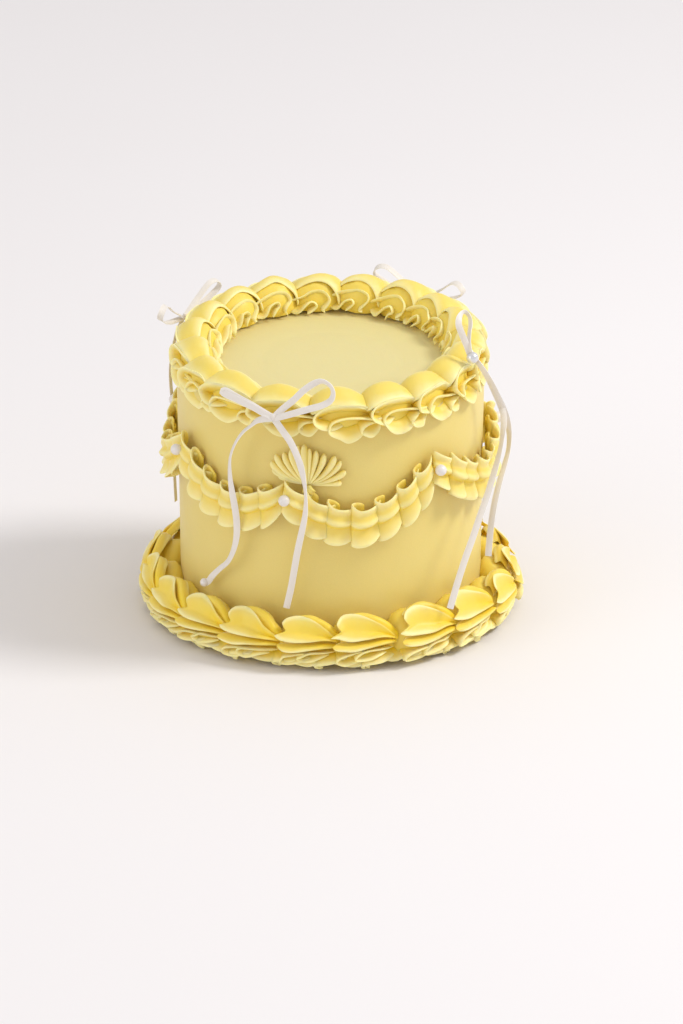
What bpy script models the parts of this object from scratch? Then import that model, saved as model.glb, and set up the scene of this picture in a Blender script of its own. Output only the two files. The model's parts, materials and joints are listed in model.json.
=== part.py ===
# A lambeth cake: an uncut round cake under smooth yellow buttercream, with a
# border of piped ruffle shells round its top edge and another round its foot,
# pleated swags on its side, one piped fan, sugar pearls and satin ribbon bows.
# Metres, +Z up. The origin is the middle of the flat underside.
# Places on the cake are an angle from the front (-Y, positive towards +X),
# a radius from the axis and a height above the underside.

import math
import random

import bmesh
import bpy
from mathutils import Vector

# Cake body
BODY_RADIUS = 0.0762
BODY_FLARE = 0.0012
BODY_HEIGHT = 0.130
TOP_EDGE_ROUND = 0.004
FOOT_EDGE_ROUND = 0.0015
BODY_SIDES = 48
CUTTER_SIDES = 28
SETTLE = 0.015
GAP = 0.00045

# Piped shells, the same nozzle on both borders
TOP_CORE_RADIUS = 0.0715
TOP_CORE_HEIGHT = 0.1315
TOP_CORE_DIP = 0.0020
BASE_CORE_RADIUS = 0.0838
BASE_CORE_HEIGHT = 0.0095
SHELL_SEED = 7
# Angles on each border from which so many shells run evenly to the next angle
TOP_RUNS = ((6.8, 1), (25.6, 7), (150.8, 4), (226.8, 5), (321.0, 2))
BASE_RUNS = ((8.4, 3), (69.3, 12), (297.0, 4))

# Swags
SWAG_WIDTH = 0.020
SWAG_STANDOFF = 0.0060
PLEAT_LENGTH = 0.0128
JOINT_GAP = 0.0006

# Fan
FAN_ANGLE = -8.0
FAN_HEIGHT = 0.0955
FAN_REACH = 0.0240
FAN_SPREAD = 140
FAN_RIDGES = 15
FAN_GAP = 0.0010

# Pearls and ribbon
PEARL_RADIUS = 0.0029
RIBBON_WIDTH = 0.0030
RIBBON_THICKNESS = 0.0005
KNOT_RADIUS = 0.0023
LOOP_STEPS = 10

# Joints of the swags: angle, height of the band's middle
JOINTS = ((-63.4, 0.0975), (-15.4, 0.0885), (39.5, 0.0980), (100.0, 0.0930),
          (149.0, 0.0950), (198.0, 0.0940), (248.0, 0.0955))
SWAG_SAG = (0.0150, 0.0190, 0.0155, 0.0160, 0.0165, 0.0155, 0.0150)

BUTTERCREAM = (0.86, 0.66, 0.16)
BORDER_CREAM = (0.90, 0.68, 0.15)
SATIN = (0.86, 0.84, 0.85)
PEARL = (0.88, 0.86, 0.86)


# Placing points

def on_cake(angle, radius, height):
    """Angle in degrees, the rest in metres. The cake has settled towards the front."""
    turn = math.radians(angle)
    depth = -radius * math.cos(turn)
    settled = height * (1 + SETTLE * depth / BODY_RADIUS)
    return Vector((radius * math.sin(turn), depth, settled))


def wall_radius(height):
    return BODY_RADIUS + BODY_FLARE * height / BODY_HEIGHT


def mix(first, second, share):
    return first + (second - first) * share


# Meshes and materials

def make_material(name, colour, roughness):
    material = bpy.data.materials.new(name)
    material.use_nodes = True
    shader = material.node_tree.nodes["Principled BSDF"]
    shader.inputs["Base Color"].default_value = (*colour, 1)
    shader.inputs["Roughness"].default_value = roughness
    shader.inputs["Metallic"].default_value = 0
    material.diffuse_color = (*colour, 1)
    return material


def make_object(name, points, faces, material, collection=None):
    mesh = bpy.data.meshes.new(name)
    mesh.from_pydata([tuple(point) for point in points], [], faces)
    shell = bmesh.new()
    shell.from_mesh(mesh)
    bmesh.ops.recalc_face_normals(shell, faces=shell.faces)
    bmesh.ops.triangulate(shell, faces=[face for face in shell.faces if len(face.verts) > 4])
    shell.to_mesh(mesh)
    shell.free()
    mesh.shade_smooth()
    mesh.set_sharp_from_angle(angle=math.radians(50))
    thing = bpy.data.objects.new(name, mesh)
    mesh.materials.append(material)
    (collection or bpy.context.scene.collection).objects.link(thing)
    return thing


def ring_faces(rings, around, closed_ends=True):
    """Faces of a tube of rings, each ring with the same number of points."""
    faces = []
    for ring in range(rings - 1):
        for step in range(around):
            after = (step + 1) % around
            here = ring * around
            above = here + around
            faces.append((here + step, here + after, above + after, above + step))
    if closed_ends:
        faces.append(tuple(range(around)))
        faces.append(tuple(range((rings - 1) * around, rings * around)))
    return faces


def apply_boolean(thing, operation, operand, solver="MANIFOLD"):
    cut = thing.modifiers.new(operation, "BOOLEAN")
    cut.operation = operation
    cut.solver = solver
    if isinstance(operand, bpy.types.Collection):
        cut.operand_type = "COLLECTION"
        cut.collection = operand
    else:
        cut.object = operand
    graph = bpy.context.evaluated_depsgraph_get()
    result = bpy.data.meshes.new_from_object(thing.evaluated_get(graph))
    thing.modifiers.remove(cut)
    thing.data = result


def keep_largest_piece(thing):
    """Drops loose scraps and the walls of sealed hollows that a union leaves."""
    shell = bmesh.new()
    shell.from_mesh(thing.data)
    unseen = set(shell.verts)
    pieces = []
    while unseen:
        stack = [unseen.pop()]
        piece = set(stack)
        while stack:
            for edge in stack.pop().link_edges:
                for vert in edge.verts:
                    if vert in unseen:
                        unseen.discard(vert)
                        piece.add(vert)
                        stack.append(vert)
        pieces.append(piece)
    pieces.sort(key=len, reverse=True)
    loose = [vert for piece in pieces[1:] for vert in piece]
    bmesh.ops.delete(shell, geom=loose, context="VERTS")
    bmesh.ops.triangulate(shell, faces=shell.faces)
    shell.to_mesh(thing.data)
    shell.free()


def remove_objects(things):
    for thing in things:
        bpy.data.objects.remove(thing)


# Cake body

def body_profile():
    """Radius and height of each ring from the foot to the top."""
    profile = [(BODY_RADIUS - FOOT_EDGE_ROUND, 0.0), (BODY_RADIUS, FOOT_EDGE_ROUND)]
    for degrees in (0, 30, 60, 90):
        turn = math.radians(degrees)
        radius = wall_radius(BODY_HEIGHT) - TOP_EDGE_ROUND * (1 - math.cos(turn))
        height = BODY_HEIGHT - TOP_EDGE_ROUND * (1 - math.sin(turn))
        profile.append((radius, height))
    return profile


def make_turned(name, material, profile, sides):
    points = []
    for radius, height in profile:
        for step in range(sides):
            points.append(on_cake(360 * step / sides, radius, height))
    return make_object(name, points, ring_faces(len(profile), sides), material)


def make_body_cutter(material):
    """A plain block just larger than the cake all round, which its borders are cut to."""
    spread = 1 / math.cos(math.pi / CUTTER_SIDES)
    top_radius = (wall_radius(BODY_HEIGHT) + GAP) * spread
    profile = [((BODY_RADIUS + GAP) * spread, -0.010), (top_radius, BODY_HEIGHT + GAP)]
    return make_turned("body_cutter", material, profile, CUTTER_SIDES)


# Piped shells

# Each ruffle of the nozzle as seen from its tail: the way it points in degrees
# (0 outwards, 90 up), how far it reaches in mm and half its thickness in degrees
TOP_RUFFLES = ((-53, 13.4, 7), (-18, 9.8, 7), (17, 9.3, 8), (84, 12.9, 30), (140, 13.0, 7), (171, 15.0, 6))
BASE_RUFFLES = ((-50, 10.8, 7), (-12, 12.3, 7), (26, 13.6, 8), (62, 18.0, 9), (98, 19.5, 8))
# The side that lies on the cake, or on the cake and the floor
TOP_BACK = ((210, 4.0),)
BASE_BACK = ((210, 10.0), (260, 11.5), (298, 12.0))

# Stations of a shell from head to tail: the way along it in mm (positive towards
# the tail), its size and how deep the valleys between its ruffles are
SHELL_STATIONS = ((-12.0, 0.72, 0.44), (-6.0, 1.0, 0.56), (4.0, 0.82, 0.46), (15.0, 0.30, 0.10))
SHELL_PITCH = 24.0
VALLEY_SETBACK = 4.5


def shell_outline(ruffles, back, draw):
    """The outline of a shell's section: direction, reach and crest (1) or valley (0)."""
    outline = []
    valley = None
    for direction, reach, half in ruffles:
        reach *= 1 + draw.uniform(-0.07, 0.07)
        direction += draw.uniform(-2.5, 2.5)
        if valley:
            outline.append(((valley[0] + direction - half) / 2, min(valley[1], reach), 0))
        outline.append((direction - half, reach, 1))
        if half > 20:
            outline.append((direction, reach * 1.03, 1))
        outline.append((direction + half, reach, 1))
        valley = (direction + half, reach)
    return outline + [(direction, reach, 1) for direction, reach in back]


def shell_rings(outline, core, angle, size, stride):
    """The points of one shell's rings from its head to its tail."""
    points = []
    head = SHELL_STATIONS[0][0]
    tail = SHELL_STATIONS[-1][0]
    for along, scale, depth in SHELL_STATIONS:
        setback = VALLEY_SETBACK * (tail - along) / (tail - head)
        for direction, reach, crest in outline:
            turn = math.radians(direction)
            length = 0.001 * size * reach * scale * (1 - depth * (1 - crest))
            way = 0.001 * stride * (along + setback * (1 - crest))
            radius = core[0] + length * math.cos(turn)
            points.append(on_cake(angle + math.degrees(way / core[0]), radius, core[1] + length * math.sin(turn)))
    return points


def spread_shells(runs):
    """The angle of each shell round a border."""
    angles = []
    for index, (start, count) in enumerate(runs):
        end = runs[index + 1][0] if index + 1 < len(runs) else runs[0][0] + 360
        angles += [mix(start, end, step / count) for step in range(count)]
    return angles


def make_border(name, material, runs, core, dip, ruffles, back):
    """A closed ring of shells, each head over the tail before it, cut clear of the cake."""
    draw = random.Random(f"{SHELL_SEED} {name}")
    angles = spread_shells(runs)
    points = []
    for index, angle in enumerate(angles):
        outline = shell_outline(ruffles, back, draw)
        room = angles[(index + 1) % len(angles)] - angles[index - 1]
        stride = 1000 * math.radians(room % 360) / 2 * core[0] / SHELL_PITCH
        middle = (core[0], core[1] - dip * math.cos(math.radians(angle)))
        points += shell_rings(outline, middle, angle, 1 + draw.uniform(-0.05, 0.05), stride)
    around = len(outline)
    rings = len(angles) * len(SHELL_STATIONS)
    faces = []
    for ring in range(rings):
        here = ring * around
        ahead = (ring + 1) % rings * around
        for step in range(around):
            after = (step + 1) % around
            faces.append((here + step, here + after, ahead + after))
            faces.append((here + step, ahead + after, ahead + step))
    border = make_object(name, points, faces, material)
    for cutter in (make_body_cutter(material), make_slab("floor_cutter", material)):
        apply_boolean(border, "DIFFERENCE", cutter)
        bpy.data.objects.remove(cutter)
    keep_largest_piece(border)
    return border


def make_slab(name, material):
    """A block under the floor, which trims what would reach below it."""
    half = 0.15
    corners = [(-half, -half), (half, -half), (half, half), (-half, half)]
    points = [(x, y, z) for z in (-0.05, 0.0) for x, y in corners]
    return make_object(name, points, ring_faces(2, 4), material)


# Swags

# Across a swag from its top edge to its bottom edge: the share of the width and
# how far that line stands off the cake, as a share of the full standoff
SWAG_LINES = ((0.00, 0.62), (0.28, 0.80), (0.55, 1.0), (0.66, 0.72), (1.0, 0.86))
# Along one pleat: the share of its length and its height, first the fold that
# overlaps the pleat before it
PLEAT_STEPS = ((0.0, 0.50), (0.04, 1.0), (0.32, 0.95), (0.74, 0.72))
PLEAT_OVERHANG = 0.10
TOP_SHARE = 0.45
PLEAT_SCALLOP = 0.0016


def swag_line(start, end, sag, share):
    """Way round the cake in metres and height of a swag's middle line, unrolled."""
    way = math.radians(mix(start[0], end[0], share)) * BODY_RADIUS
    height = mix(start[1], end[1], share) - sag * 4 * share * (1 - share)
    return Vector((way, height))


def swag_point(middle, across, down, out):
    """A point of the swag, down its width from the middle line and out from the cake."""
    place = middle + across * down
    return on_cake(math.degrees(place.x / BODY_RADIUS), wall_radius(place.y) + out, place.y)


def make_swag(name, material, start, end, sag, draw):
    first = (start[0] + math.degrees(JOINT_GAP / BODY_RADIUS), start[1])
    last = (end[0] - math.degrees(JOINT_GAP / BODY_RADIUS), end[1])
    arc = math.radians(last[0] - first[0]) * BODY_RADIUS
    pleats = round(math.hypot(arc, 2 * sag) / PLEAT_LENGTH)
    points = []
    rings = 0
    for pleat in range(pleats + 1):
        width = SWAG_WIDTH * (1 + draw.uniform(-0.05, 0.05))
        for step, lift in PLEAT_STEPS if pleat < pleats else PLEAT_STEPS[:1]:
            share = (pleat + step) / pleats
            middle = swag_line(first, last, sag, share)
            run = swag_line(first, last, sag, share + 0.01) - swag_line(first, last, sag, share - 0.01)
            turn = math.atan2(run.y, run.x) * math.sin(math.pi * share)
            across = Vector((math.sin(turn), -math.cos(turn)))
            scallop = PLEAT_SCALLOP * math.sin(math.pi * (step + 0.15))
            points.append(swag_point(middle, across, -width * TOP_SHARE, GAP))
            overhang = PLEAT_OVERHANG / pleats if pleat and lift == 1.0 else 0.0
            raised = swag_line(first, last, sag, share - overhang)
            for line, standoff in SWAG_LINES:
                down = width * (line - TOP_SHARE) + scallop * line
                points.append(swag_point(raised, across, down, GAP + SWAG_STANDOFF * standoff * lift))
            points.append(swag_point(middle, across, width * (1 - TOP_SHARE) + scallop, GAP))
            rings += 1
    return make_object(name, points, ring_faces(rings, len(SWAG_LINES) + 2), material)


# Fan

# Rows of the fan from its foot to its edge: share of its reach and standoff
FAN_ROWS = ((0.10, 0.0034), (0.45, 0.0046), (0.80, 0.0040), (1.0, 0.0020))


def fan_reach(turn, crest, share):
    """The ridges in the middle are the longest, and the furrows end short of the ridges."""
    reach = FAN_REACH * share * (0.78 + 0.22 * math.cos(turn) ** 2)
    return reach if crest else reach * mix(1.0, 0.90, share)


def make_fan(name, material):
    """A scallop of ridges that spread from its foot, flat at the back."""
    radius = wall_radius(FAN_HEIGHT) + FAN_GAP
    edge = FAN_RIDGES * 2
    spread = math.radians(FAN_SPREAD)
    turns = [-spread / 2 + spread * step / edge for step in range(edge + 1)]
    points = []
    for share, standoff in FAN_ROWS:
        for step, turn in enumerate(turns):
            crest = step % 2
            out = standoff * (1 if crest else 0.55)
            points.append(fan_point(radius + out, turn, fan_reach(turn, crest, share)))
    front = len(points)
    for step, turn in enumerate(turns):
        points.append(fan_point(radius, turn, fan_reach(turn, step % 2, 1.0)))
    hub = len(points)
    points.append(fan_point(radius + 0.0030, 0.0, 0.0))
    points.append(fan_point(radius, 0.0, -0.001))
    faces = []
    row = edge + 1
    for line in range(len(FAN_ROWS)):
        for step in range(edge):
            here = line * row + step
            faces.append((here, here + 1, here + row + 1, here + row))
    for step in range(edge):
        faces.append((hub, step + 1, step))
        faces.append((hub + 1, front + step, front + step + 1))
    for side in (0, edge):
        faces.append((hub, *(line * row + side for line in range(len(FAN_ROWS) + 1)), hub + 1))
    return make_object(name, points, faces, material)


def fan_point(radius, turn, reach):
    angle = FAN_ANGLE + math.degrees(reach * math.sin(turn) / radius)
    return on_cake(angle, radius, FAN_HEIGHT + reach * math.cos(turn))


# Pearls

def make_pearl(name, material, angle, radius, height, size=PEARL_RADIUS):
    ball = bmesh.new()
    bmesh.ops.create_icosphere(ball, subdivisions=2, radius=size)
    mesh = bpy.data.meshes.new(name)
    ball.to_mesh(mesh)
    ball.free()
    mesh.shade_smooth()
    mesh.materials.append(material)
    pearl = bpy.data.objects.new(name, mesh)
    pearl.location = on_cake(angle, radius, height)
    bpy.context.scene.collection.objects.link(pearl)
    return pearl


# Bows

def smooth_path(route, steps):
    """Points of a Catmull-Rom curve through a route."""
    ends = [route[0] * 2 - route[1], *route, route[-1] * 2 - route[-2]]
    path = []
    for step in range(steps + 1):
        where = step * (len(route) - 1) / steps
        leg = min(int(where), len(route) - 2)
        share = where - leg
        before, start, end, after = ends[leg:leg + 4]
        bend = start * 2 + (end - before) * share
        bend += (before * 2 - start * 5 + end * 4 - after) * share ** 2
        bend += (start * 3 - before - end * 3 + after) * share ** 3
        path.append(bend / 2)
    return path


def ribbon_points(path, across, flat_on_wall):
    points = []
    for step, middle in enumerate(path):
        ahead = path[min(step + 1, len(path) - 1)] - path[max(step - 1, 0)]
        ahead.normalize()
        if flat_on_wall:
            face = Vector((middle.x, middle.y, 0)).normalized()
        else:
            face = across.cross(ahead)
        face = (face - ahead * face.dot(ahead)).normalized()
        side = ahead.cross(face).normalized() * RIBBON_WIDTH / 2
        thick = face * RIBBON_THICKNESS / 2
        points += [middle - side - thick, middle + side - thick, middle + side + thick, middle - side + thick]
    return points


def make_band(name, material, knot, route, steps, across=None, parent=None):
    """A ribbon from the knot along a route; a loop (with across given) comes back to it."""
    route = [on_cake(*place) for place in route]
    route.insert(0, knot + (route[0] - knot).normalized() * KNOT_RADIUS * 0.6)
    if across:
        route.append(knot + (route[-1] - knot).normalized() * KNOT_RADIUS * 0.6)
    path = smooth_path(route, steps)
    points = ribbon_points(path, across, across is None)
    return make_object(name, points, ring_faces(len(path), 4), material, parent)


def make_bow(name, material, knot, loops, tails):
    group = bpy.data.collections.new(name + "_parts")
    bpy.context.scene.collection.children.link(group)
    centre = on_cake(*knot)
    ball = bmesh.new()
    bmesh.ops.create_icosphere(ball, subdivisions=1, radius=1.0)
    points = [centre + vert.co * KNOT_RADIUS for vert in ball.verts]
    faces = [tuple(vert.index for vert in face.verts) for face in ball.faces]
    ball.free()
    bow = make_object(name, points, faces, material)
    parts = []
    for index, (route, across) in enumerate(loops):
        parts.append(make_band(f"{name}_loop_{index}", material, centre, route, LOOP_STEPS, Vector(across), group))
    for index, route in enumerate(tails):
        parts.append(make_band(f"{name}_tail_{index}", material, centre, route, len(route) + 1, None, group))
    apply_boolean(bow, "UNION", group)
    remove_objects(parts)
    bpy.data.collections.remove(group)
    keep_largest_piece(bow)
    return bow


FRONT_BOW = {
    "knot": (-20.2, 0.0885, 0.1330),
    "loops": (
        (((-8.0, 0.0850, 0.1480), (0.5, 0.0840, 0.1545), (2.2, 0.0870, 0.1500), (-7.0, 0.0905, 0.1390)),
         (-0.25, 0.35, 0.9)),
        (((-30.0, 0.0880, 0.1385), (-39.0, 0.0870, 0.1430), (-41.0, 0.0885, 0.1400), (-30.0, 0.0900, 0.1345)),
         (-0.2, -0.3, 0.9)),
    ),
    "tails": (
        ((-28.4, 0.0890, 0.1270), (-33.5, 0.0885, 0.1135), (-36.3, 0.0880, 0.0958), (-35.1, 0.0875, 0.0827),
         (-33.5, 0.0860, 0.0665), (-40.0, 0.0830, 0.0430), (-47.6, 0.0815, 0.0345)),
        ((-13.5, 0.0895, 0.1218), (-9.0, 0.0900, 0.1063), (-8.4, 0.0890, 0.0899), (-11.4, 0.0870, 0.0555),
         (-15.2, 0.0850, 0.0335)),
    ),
}

RIGHT_BOW = {
    "knot": (66.7, 0.0782, 0.1466),
    "loops": (
        (((65.6, 0.0745, 0.1560), (65.3, 0.0722, 0.1640), (66.1, 0.0745, 0.1700), (66.9, 0.0768, 0.1640),
          (66.9, 0.0775, 0.1560)), (0.75, 0.45, 0.2)),
    ),
    "tails": (
        ((67.2, 0.0822, 0.1425), (69.3, 0.0850, 0.1342), (72.4, 0.0880, 0.1245), (73.6, 0.0910, 0.1163),
         (71.0, 0.0935, 0.1110), (66.8, 0.0940, 0.0998), (61.0, 0.0940, 0.0857), (54.8, 0.0935, 0.0682),
         (47.8, 0.0940, 0.0469), (41.6, 0.0960, 0.0270)),
        ((68.4, 0.0820, 0.1428), (70.8, 0.0848, 0.1345), (74.0, 0.0880, 0.1235), (77.4, 0.0908, 0.1125),
         (80.0, 0.0914, 0.0990), (77.0, 0.0914, 0.0900), (66.1, 0.0914, 0.0760), (60.8, 0.0915, 0.0543),
         (59.0, 0.0920, 0.0420)),
    ),
}


def back_bow(angle):
    """The two bows at the back, of which only the loops show above the border."""
    return {
        "knot": (angle, 0.0885, 0.1340),
        "loops": (
            (((angle - 7, 0.0890, 0.1400), (angle - 13, 0.0885, 0.1470), (angle - 17, 0.0890, 0.1420),
              (angle - 9, 0.0900, 0.1350)), (0.2, 0.1, 0.9)),
            (((angle + 7, 0.0890, 0.1400), (angle + 13, 0.0885, 0.1470), (angle + 17, 0.0890, 0.1420),
              (angle + 9, 0.0900, 0.1350)), (0.2, 0.1, 0.9)),
        ),
        "tails": (
            ((angle - 6, 0.0895, 0.1240), (angle - 9, 0.0895, 0.1080), (angle - 7, 0.0890, 0.0850),
             (angle - 8, 0.0870, 0.0600), (angle - 10, 0.0850, 0.0370)),
            ((angle + 6, 0.0895, 0.1240), (angle + 10, 0.0895, 0.1080), (angle + 9, 0.0890, 0.0850),
             (angle + 11, 0.0870, 0.0620), (angle + 12, 0.0850, 0.0430)),
        ),
    }


def main():
    for thing in list(bpy.data.objects):
        bpy.data.objects.remove(thing)

    cream = make_material("buttercream", BUTTERCREAM, 0.55)
    piped = make_material("piped_cream", BORDER_CREAM, 0.50)
    satin = make_material("satin_ribbon", SATIN, 0.35)
    pearl = make_material("sugar_pearl", PEARL, 0.25)

    make_turned("cake", cream, body_profile(), BODY_SIDES)
    top_core = (TOP_CORE_RADIUS, TOP_CORE_HEIGHT)
    make_border("top_border", piped, TOP_RUNS, top_core, TOP_CORE_DIP, TOP_RUFFLES, TOP_BACK)
    base_core = (BASE_CORE_RADIUS, BASE_CORE_HEIGHT)
    make_border("base_border", piped, BASE_RUNS, base_core, 0.0, BASE_RUFFLES, BASE_BACK)

    draw = random.Random(SHELL_SEED)
    for index, start in enumerate(JOINTS):
        end = JOINTS[(index + 1) % len(JOINTS)]
        if end[0] < start[0]:
            end = (end[0] + 360, end[1])
        make_swag(f"swag_{index + 1}", piped, start, end, SWAG_SAG[index], draw)
        make_pearl(f"pearl_{index + 1}", pearl, start[0], 0.0858, start[1])

    make_fan("fan", piped)
    make_bow("bow_front", satin, **FRONT_BOW)
    make_bow("bow_right", satin, **RIGHT_BOW)
    make_bow("bow_back_right", satin, **back_bow(148.0))
    make_bow("bow_back_left", satin, **back_bow(237.0))
    make_pearl("pearl_bow_right", pearl, 61.2, 0.0802, 0.1467, 0.0030)
    make_pearl("pearl_tail_front", pearl, -49.8, 0.0825, 0.0315, 0.0022)


main()
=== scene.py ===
# The looks of a lambeth cake: smooth yellow buttercream, ruffled shells piped round
# the top edge and the foot, pleated swags, a piped fan, sugar pearls and satin bows.
# Lengths are in metres, or in mm where a note says so.
import json
import math
import random

import bmesh
import bpy
import numpy as np
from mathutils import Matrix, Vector

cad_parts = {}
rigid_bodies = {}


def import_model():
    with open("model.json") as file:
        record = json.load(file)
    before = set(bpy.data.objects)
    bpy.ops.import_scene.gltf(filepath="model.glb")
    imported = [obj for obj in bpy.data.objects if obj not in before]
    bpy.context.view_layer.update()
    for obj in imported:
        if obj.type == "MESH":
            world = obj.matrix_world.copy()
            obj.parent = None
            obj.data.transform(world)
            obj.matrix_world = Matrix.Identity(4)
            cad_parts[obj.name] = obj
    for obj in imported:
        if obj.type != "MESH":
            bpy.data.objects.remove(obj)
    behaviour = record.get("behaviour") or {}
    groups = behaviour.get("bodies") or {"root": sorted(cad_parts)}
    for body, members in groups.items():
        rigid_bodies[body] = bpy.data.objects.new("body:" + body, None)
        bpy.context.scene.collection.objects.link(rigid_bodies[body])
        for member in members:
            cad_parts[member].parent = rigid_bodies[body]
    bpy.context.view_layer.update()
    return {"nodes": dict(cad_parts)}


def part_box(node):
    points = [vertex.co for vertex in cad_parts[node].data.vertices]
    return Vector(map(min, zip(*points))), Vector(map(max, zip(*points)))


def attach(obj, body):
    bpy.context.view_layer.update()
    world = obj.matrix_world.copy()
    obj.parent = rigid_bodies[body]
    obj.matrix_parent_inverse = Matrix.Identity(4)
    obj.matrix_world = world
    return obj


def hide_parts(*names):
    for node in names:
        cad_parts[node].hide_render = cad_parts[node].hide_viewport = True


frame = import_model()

print("frame loaded:", len(frame["nodes"]), "nodes")

cake = {
    "radius": 0.0762, "flare": 0.0012, "height": 0.130,
    "topRound": 0.004, "footRound": 0.0015,
    "settle": 0.015,  # the share by which the front is lower, and the back higher, than the middle
    "around": 360, "sideRings": 70, "topRings": 40, "topSteps": 8, "footSteps": 4,
    "underside": (0.02, 0.05),  # rings under the cake
    # the scraper's waves on the side: size, how many go round, twist up the side, start
    "waves": ((0.00009, 3, 40, 0), (0.000063, 5, -65, 1), (0.000045, 9, 0, 2)), "hollow": 0.000216,
    # the top falls a little outwards, and the knife's last turn left a shallow ring in it
    "topDrop": 0.00005, "topFall": 0.0002, "fallRadius": 0.06,
    "knifeRing": 0.036, "knifeWide": 0.0022, "knifeDeep": 0.00022, "innermost": 0.0004,
}


# Places on the cake: angle from the front in degrees, radius and height in metres

def onCake(angle, radius, height):
    turn = np.radians(angle)
    depth = -radius * np.cos(turn)
    settled = height * (1 + cake["settle"] * depth / cake["radius"])
    return np.stack(np.broadcast_arrays(radius * np.sin(turn), depth, settled), axis=-1)


def wallRadius(height):
    return cake["radius"] + cake["flare"] * height / cake["height"]


# The camera stands where the photo was taken from
view = {
    "aim": (0.0055, 0.0, 0.0474), "distance": 3.0, "elevation": 22.2, "farthest": 20.0,
    "focal": 208.0, "sensor": 36.0, "frame": (683, 1024),
}
upwards = math.radians(view["elevation"])
toCamera = np.array([0, -math.cos(upwards), math.sin(upwards)])
cameraPlace = np.array(view["aim"]) + toCamera * view["distance"]
cameraUp = np.array([0, math.sin(upwards), math.cos(upwards)])
pixelsPerRun = view["focal"] / view["sensor"] * view["frame"][1]


def seenAt(x, y, radius):
    # the place at a radius in mm from the cake's axis that shows at a pixel of the photo
    wide, tall = view["frame"]
    right, down = (x - wide / 2) / pixelsPerRun, (y - tall / 2) / pixelsPerRun
    ray = np.array([right, 0, 0]) - toCamera - cameraUp * down
    flat, start = ray[:2], cameraPlace[:2]
    a, b, c = flat @ flat, 2 * start @ flat, start @ start - (radius / 1000) ** 2
    return cameraPlace + ray * (-b - math.sqrt(max(b * b - 4 * a * c, 0))) / (2 * a)


# Lines and surfaces

def runAlong(points):
    # the length of a line up to each of its points
    return np.concatenate([[0], np.cumsum(np.linalg.norm(np.diff(points, axis=0), axis=1))])


def smoothRows(points, count, fine=24):
    # a Catmull-Rom curve through the rows, cut into fine steps and then spaced evenly
    rows = np.array(points, float)
    ends = np.vstack([2 * rows[0] - rows[1], rows, 2 * rows[-1] - rows[-2]])
    where = np.linspace(0, len(rows) - 1, fine * len(rows))
    leg = np.minimum(where.astype(int), len(rows) - 2)
    t = (where - leg)[:, None]
    a, b, c, d = ends[leg], ends[leg + 1], ends[leg + 2], ends[leg + 3]
    line = 0.5 * (2 * b + (c - a) * t + (2 * a - 5 * b + 4 * c - d) * t ** 2 + (3 * b - a - 3 * c + d) * t ** 3)
    run = runAlong(line[:, :3])
    even = np.linspace(0, run[-1], count)
    return np.stack([np.interp(even, run, column) for column in line.T], axis=1)


def smoothGrid(control, along, across):
    # a surface through a small grid of points
    rows = [smoothRows(row, across) for row in control]
    lines = [smoothRows(line, along) for line in np.swapaxes(np.array(rows), 0, 1)]
    return np.swapaxes(np.array(lines), 0, 1)


# Meshes

def ringFaces(rings, around, base):
    # quads from ring to ring, and a cap at each end
    faces = []
    for here in range(base, base + (rings - 1) * around, around):
        for step in range(around):
            after = (step + 1) % around
            faces.append((here + step, here + after, here + around + after, here + around + step))
    last = base + (rings - 1) * around
    return faces + [tuple(reversed(range(base, base + around))), tuple(range(last, last + around))]


def unitRows(rows):
    return rows / np.maximum(np.linalg.norm(rows, axis=-1, keepdims=True), 1e-12)


# a sheet's ends get thinner and its rims are round, both as shares of half its thickness
sheetEdge = {"thinnest": 0.3, "round": 0.9}


def thickSheet(grid, rootHalf, rimHalf, taper, paintedShading):
    # a closed sheet from a grid of (along, from root to rim): half its thickness at both, the
    # share of its length that thins out at an end, and the painted shading of each of its lines,
    # mostly painted shade low down and a painted highlight near a rim
    along, across = grid.shape[:2]
    share = np.linspace(0, 1, across)
    normal = unitRows(np.cross(np.gradient(grid, axis=0), np.gradient(grid, axis=1)))
    ends = np.minimum(np.linspace(0, 1, along), np.linspace(1, 0, along)) / taper
    half = (rootHalf + (rimHalf - rootHalf) * share) * np.clip(sheetEdge["thinnest"] + ends, 0, 1)[:, None]
    front = grid + normal * half[..., None]
    back = grid - normal * half[..., None]
    rim = grid[:, -1] + unitRows(grid[:, -1] - grid[:, -2]) * half[:, -1:] * sheetEdge["round"]
    root = grid[:, 0] + unitRows(grid[:, 0] - grid[:, 1]) * half[:, :1] * sheetEdge["round"]
    ring = np.concatenate([front, rim[:, None], back[:, ::-1], root[:, None]], axis=1)
    near = np.concatenate([paintedShading, [paintedShading[-1]], paintedShading[::-1], [paintedShading[0]]])
    return ring, np.broadcast_to(near, ring.shape[:2])


def addObject(name, data):
    thing = bpy.data.objects.new(name, data)
    bpy.context.scene.collection.objects.link(thing)
    return thing


def looseMesh(name, shells):
    # shells: arrays of (rings, around, 3), each closed by a cap at both ends
    points, faces = [], []
    for rings in shells:
        faces += ringFaces(len(rings), rings.shape[1], len(points))
        points += [tuple(point) for point in rings.reshape(-1, 3)]
    mesh = bpy.data.meshes.new(name)
    mesh.from_pydata(points, [], faces)
    mesh.update()
    return addObject(name, mesh)


def makePiece(name, parts, material):
    # parts: the rings of each shell, and the painted shading value of each of their points, which sets painted
    # highlights and painted shade in the piped finish
    thing = looseMesh(name, [rings for rings, near in parts])
    paintedShading = np.concatenate([near.reshape(-1) for rings, near in parts])
    layer = thing.data.attributes.new("paintedShading", "FLOAT", "POINT")
    layer.data.foreach_set("value", paintedShading.astype(np.float32))
    finishMesh(thing, material)
    return thing


def dressMesh(mesh, material, sharpFrom=60):
    mesh.materials.clear()
    mesh.materials.append(material)
    mesh.shade_smooth()
    mesh.set_sharp_from_angle(angle=math.radians(sharpFrom))


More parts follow.
